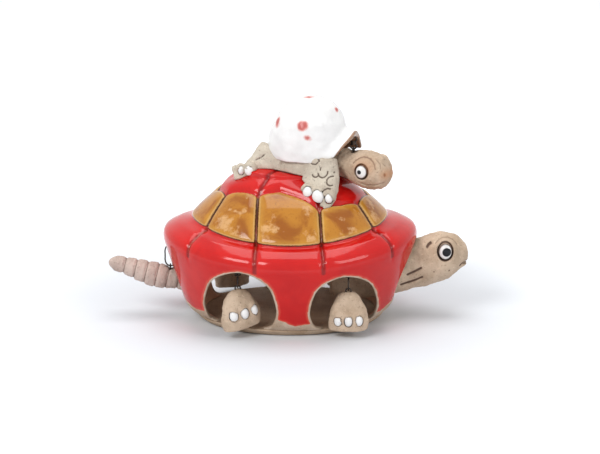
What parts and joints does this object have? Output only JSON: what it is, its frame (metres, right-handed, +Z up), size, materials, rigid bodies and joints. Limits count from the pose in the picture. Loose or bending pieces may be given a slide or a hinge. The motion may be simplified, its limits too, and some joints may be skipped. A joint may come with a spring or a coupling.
{
  "type": "turtle figurine",
  "caption": "Hollow clay turtle carrying a young turtle on its back, its feet, head and tail, and the young turtle's head, hung loosely on loops of wire so that they wobble.",
  "frame": {"origin": "centre of the flat underside that the figurine stands on", "axes": "+X towards the mother's head, +Y to her left, +Z up out of the surface it stands on"},
  "size_m": [0.1624, 0.0944, 0.1012],
  "materials": {
    "glazed_shell": "glossy bright red glaze with amber plates, over beige clay",
    "pale_clay": "unglazed, finely speckled, matt",
    "bare_clay": "unglazed, matt",
    "white_glaze": "glossy white glaze",
    "wire": "blackened annealed iron"
  },
  "bodies": {
    "body": {"shell": "glazed_shell", "slab": "bare_clay", "lug_front_left": "bare_clay", "lug_front_right": "bare_clay", "lug_rear_left": "bare_clay", "lug_rear_right": "bare_clay", "lug_head": "bare_clay", "young_body": "pale_clay", "young_shell": "white_glaze", "young_claws_front_left": "white_glaze", "young_claws_front_right": "white_glaze", "young_claws_hind_left": "white_glaze", "young_claws_hind_right": "white_glaze"},
    "link_front_left": {"loop_front_left": "wire"},
    "foot_front_left": {"foot_front_left": "pale_clay", "claws_front_left": "white_glaze", "eye_front_left": "wire"},
    "link_front_right": {"loop_front_right": "wire"},
    "foot_front_right": {"foot_front_right": "pale_clay", "claws_front_right": "white_glaze", "eye_front_right": "wire"},
    "link_rear_left": {"loop_rear_left": "wire"},
    "foot_rear_left": {"foot_rear_left": "pale_clay", "claws_rear_left": "white_glaze", "eye_rear_left": "wire"},
    "link_rear_right": {"loop_rear_right": "wire"},
    "foot_rear_right": {"foot_rear_right": "pale_clay", "claws_rear_right": "white_glaze", "eye_rear_right": "wire"},
    "link_head": {"loop_head": "wire"},
    "head": {"head": "pale_clay", "eye_head": "wire", "head_eyeball_left": "white_glaze", "head_eyeball_right": "white_glaze"},
    "link_tail": {"loop_tail": "wire"},
    "tail": {"tail": "pale_clay", "eye_tail": "wire"},
    "link_young_head": {"loop_young_head": "wire"},
    "young_head": {"young_head": "pale_clay", "eye_young_head": "wire", "young_eyeball_left": "white_glaze", "young_eyeball_right": "white_glaze"}
  },
  "joints": [
    {"name": "swing_front_left", "type": "hinge", "parent": "body", "child": "link_front_left", "pos_m": [0.02561, 0.03512, 0.03659], "axis": [0, 1, 0], "range_deg": [-4, 4]},
    {"name": "sway_front_left", "type": "hinge", "parent": "link_front_left", "child": "foot_front_left", "pos_m": [0.02561, 0.03512, 0.02308], "axis": [1, 0, 0], "range_deg": [-1.5, 20]},
    {"name": "swing_front_right", "type": "hinge", "parent": "body", "child": "link_front_right", "pos_m": [0.02561, -0.03512, 0.03659], "axis": [0, 1, 0], "range_deg": [-4, 4]},
    {"name": "sway_front_right", "type": "hinge", "parent": "link_front_right", "child": "foot_front_right", "pos_m": [0.02561, -0.03512, 0.02308], "axis": [-1, 0, 0], "range_deg": [-1.5, 20]},
    {"name": "swing_rear_left", "type": "hinge", "parent": "body", "child": "link_rear_left", "pos_m": [-0.02747, 0.03453, 0.03659], "axis": [0, 1, 0], "range_deg": [-4, 4]},
    {"name": "sway_rear_left", "type": "hinge", "parent": "link_rear_left", "child": "foot_rear_left", "pos_m": [-0.02747, 0.03453, 0.02308], "axis": [1, 0, 0], "range_deg": [-1.5, 20]},
    {"name": "swing_rear_right", "type": "hinge", "parent": "body", "child": "link_rear_right", "pos_m": [-0.02261, -0.03509, 0.03659], "axis": [0, 1, 0], "range_deg": [-4, 4]},
    {"name": "sway_rear_right", "type": "hinge", "parent": "link_rear_right", "child": "foot_rear_right", "pos_m": [-0.02261, -0.03509, 0.02432], "axis": [-1, 0, 0], "range_deg": [-1.5, 20]},
    {"name": "swing_head", "type": "hinge", "parent": "body", "child": "link_head", "pos_m": [0.04766, 0, 0.03958], "axis": [1, 0, 0], "range_deg": [-7, 7]},
    {"name": "nod_head", "type": "hinge", "parent": "link_head", "child": "head", "pos_m": [0.04766, 0, 0.03578], "axis": [0, 1, 0], "range_deg": [-6, 7]},
    {"name": "swing_tail", "type": "hinge", "parent": "body", "child": "link_tail", "pos_m": [-0.0541, 0, 0.0325], "axis": [1, 0, 0], "range_deg": [-6, 6]},
    {"name": "nod_tail", "type": "hinge", "parent": "link_tail", "child": "tail", "pos_m": [-0.0541, 0, 0.02685], "axis": [0, 1, 0], "range_deg": [-5, 5]},
    {"name": "swing_young_head", "type": "hinge", "parent": "body", "child": "link_young_head", "pos_m": [0.02812, -0.00721, 0.08725], "axis": [0.9511, -0.309, 0], "range_deg": [-6, 6]},
    {"name": "nod_young_head", "type": "hinge", "parent": "link_young_head", "child": "young_head", "pos_m": [0.02812, -0.00721, 0.08044], "axis": [0.309, 0.9511, 0], "range_deg": [-4, 4]}
  ]
}
